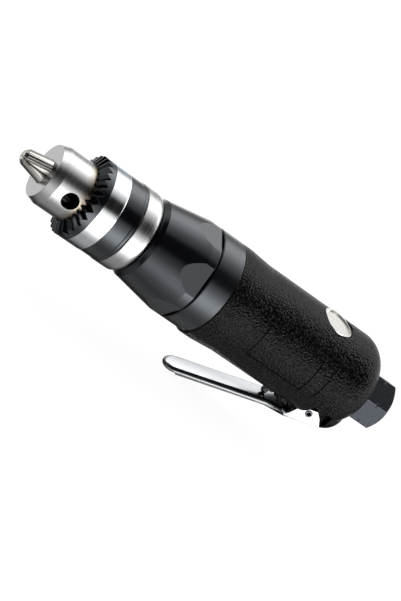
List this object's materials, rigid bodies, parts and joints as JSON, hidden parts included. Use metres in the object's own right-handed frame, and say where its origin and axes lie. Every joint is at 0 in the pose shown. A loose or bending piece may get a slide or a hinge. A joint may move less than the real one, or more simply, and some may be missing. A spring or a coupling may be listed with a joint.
{
  "type": "air drill",
  "caption": "Straight inline air drill with a keyed three-jaw chuck, black nose housing, pebbled grip, chrome throttle lever with lock-off latch and a hexagon air inlet.",
  "frame": {"origin": "on the spin axis, at the front face of the closed chuck jaws", "axes": "+X along the spin axis towards the air inlet, +Z away from the lever, towards the round plug in the top of the grip"},
  "size_m": [0.1933, 0.0436, 0.0628],
  "materials": {
    "chrome": "polished",
    "bright_steel": "brushed",
    "black_steel": "black oxide, satin",
    "black_anodised": "anodised, gloss",
    "grip": "pebbled",
    "dark_steel": "gunmetal",
    "bearing_steel": "ground",
    "gear_steel": "machined",
    "motor_metal": "machined",
    "brass": "machined",
    "vane": "laminate",
    "rubber": "matte",
    "felt": "felt",
    "spring_steel": "drawn wire"
  },
  "bodies": {
    "housing": {"nose_housing": "black_anodised", "spindle_seal": "felt", "ring_gear": "gear_steel", "spindle_bearing_outer": "bearing_steel", "motor_case": "black_anodised", "front_end_plate": "motor_metal", "motor_cylinder": "motor_metal", "rear_end_plate": "motor_metal", "cylinder_dowel": "bearing_steel", "front_bearing_outer": "bearing_steel", "rear_bearing_outer": "bearing_steel", "grip_housing": "grip", "throttle_bushing": "brass", "throttle_spring": "spring_steel", "valve_plug": "chrome", "plug_oring": "rubber", "stem_guide": "black_steel", "lever_pin": "bearing_steel", "inlet_bushing": "dark_steel", "inlet_oring": "rubber", "inlet_screen": "brass"},
    "spindle": {"chuck_body": "bright_steel", "output_spindle": "bright_steel", "planet_pins": "gear_steel", "spindle_bearing_inner": "bearing_steel", "spindle_bearing_balls": "bearing_steel"},
    "sleeve": {"chuck_sleeve": "black_steel", "chuck_nut": "gear_steel"},
    "jaw_a": {"jaw_1": "bright_steel"},
    "jaw_b": {"jaw_2": "bright_steel"},
    "jaw_c": {"jaw_3": "bright_steel"},
    "planet_a": {"planet_gear_1": "gear_steel"},
    "planet_b": {"planet_gear_2": "gear_steel"},
    "planet_c": {"planet_gear_3": "gear_steel"},
    "rotor_set": {"rotor": "gear_steel", "rotor_vanes": "vane", "front_bearing_inner": "bearing_steel", "front_bearing_balls": "bearing_steel", "rear_bearing_inner": "bearing_steel", "rear_bearing_balls": "bearing_steel"},
    "lever": {"throttle_lever": "chrome", "latch_pin": "bearing_steel"},
    "latch": {"safety_latch": "black_steel"},
    "valve": {"throttle_valve": "bearing_steel", "valve_seal": "rubber"}
  },
  "joints": [
    {"name": "spindle_spin", "type": "hinge", "parent": "housing", "child": "spindle", "pos_m": [0, 0, 0], "axis": [1, 0, 0], "continuous": true},
    {"name": "rotor_spin", "type": "hinge", "parent": "housing", "child": "rotor_set", "pos_m": [0, 0, 0], "axis": [1, 0, 0], "continuous": true},
    {"name": "planet_a_spin", "type": "hinge", "parent": "spindle", "child": "planet_a", "pos_m": [0.082, -0.00818, -0.00473], "axis": [1, 0, 0], "continuous": true},
    {"name": "planet_b_spin", "type": "hinge", "parent": "spindle", "child": "planet_b", "pos_m": [0.082, 0.00818, -0.00473], "axis": [1, 0, 0], "continuous": true},
    {"name": "planet_c_spin", "type": "hinge", "parent": "spindle", "child": "planet_c", "pos_m": [0.082, 0, 0.00945], "axis": [1, 0, 0], "continuous": true},
    {"name": "sleeve_turn", "type": "hinge", "parent": "spindle", "child": "sleeve", "pos_m": [0.04, 0, 0], "axis": [-1, 0, 0], "range_deg": [0, 4060.9]},
    {"name": "jaw_a_slide", "type": "slide", "parent": "spindle", "child": "jaw_a", "axis": [0.9703, -0.0945, 0.2227], "range_m": [0, 0.01861]},
    {"name": "jaw_b_slide", "type": "slide", "parent": "spindle", "child": "jaw_b", "axis": [0.9703, -0.1456, -0.1932], "range_m": [0, 0.01861]},
    {"name": "jaw_c_slide", "type": "slide", "parent": "spindle", "child": "jaw_c", "axis": [0.9703, 0.2401, -0.0295], "range_m": [0, 0.01861]},
    {"name": "lever_press", "type": "hinge", "parent": "housing", "child": "lever", "pos_m": [0.1685, 0, -0.019], "axis": [0, 1, 0], "range_deg": [0, 9], "stiffness_Nm_per_rad": 1.2, "springref_deg": -34.38},
    {"name": "valve_lift", "type": "slide", "parent": "housing", "child": "valve", "axis": [0, 0, 1], "range_m": [0, 0.0031], "deforming": ["throttle_spring"]},
    {"name": "latch_fold", "type": "hinge", "parent": "lever", "child": "latch", "pos_m": [0.15942, 0, -0.02539], "axis": [0, 1, 0], "range_deg": [-51, 0]}
  ],
  "couplings": [
    {"joint": "rotor_spin", "follows": "spindle_spin", "ratio": 4.5},
    {"joint": "planet_a_spin", "follows": "spindle_spin", "ratio": -2.8},
    {"joint": "planet_b_spin", "follows": "spindle_spin", "ratio": -2.8},
    {"joint": "planet_c_spin", "follows": "spindle_spin", "ratio": -2.8},
    {"joint": "jaw_a_slide", "follows": "sleeve_turn", "m_per_rad": 0.00026244},
    {"joint": "jaw_b_slide", "follows": "sleeve_turn", "m_per_rad": 0.00026244},
    {"joint": "jaw_c_slide", "follows": "sleeve_turn", "m_per_rad": 0.00026244},
    {"joint": "valve_lift", "follows": "lever_press", "m_per_rad": 0.01954},
    {"joint": "latch_fold", "follows": "lever_press", "ratio": -5.55}
  ]
}
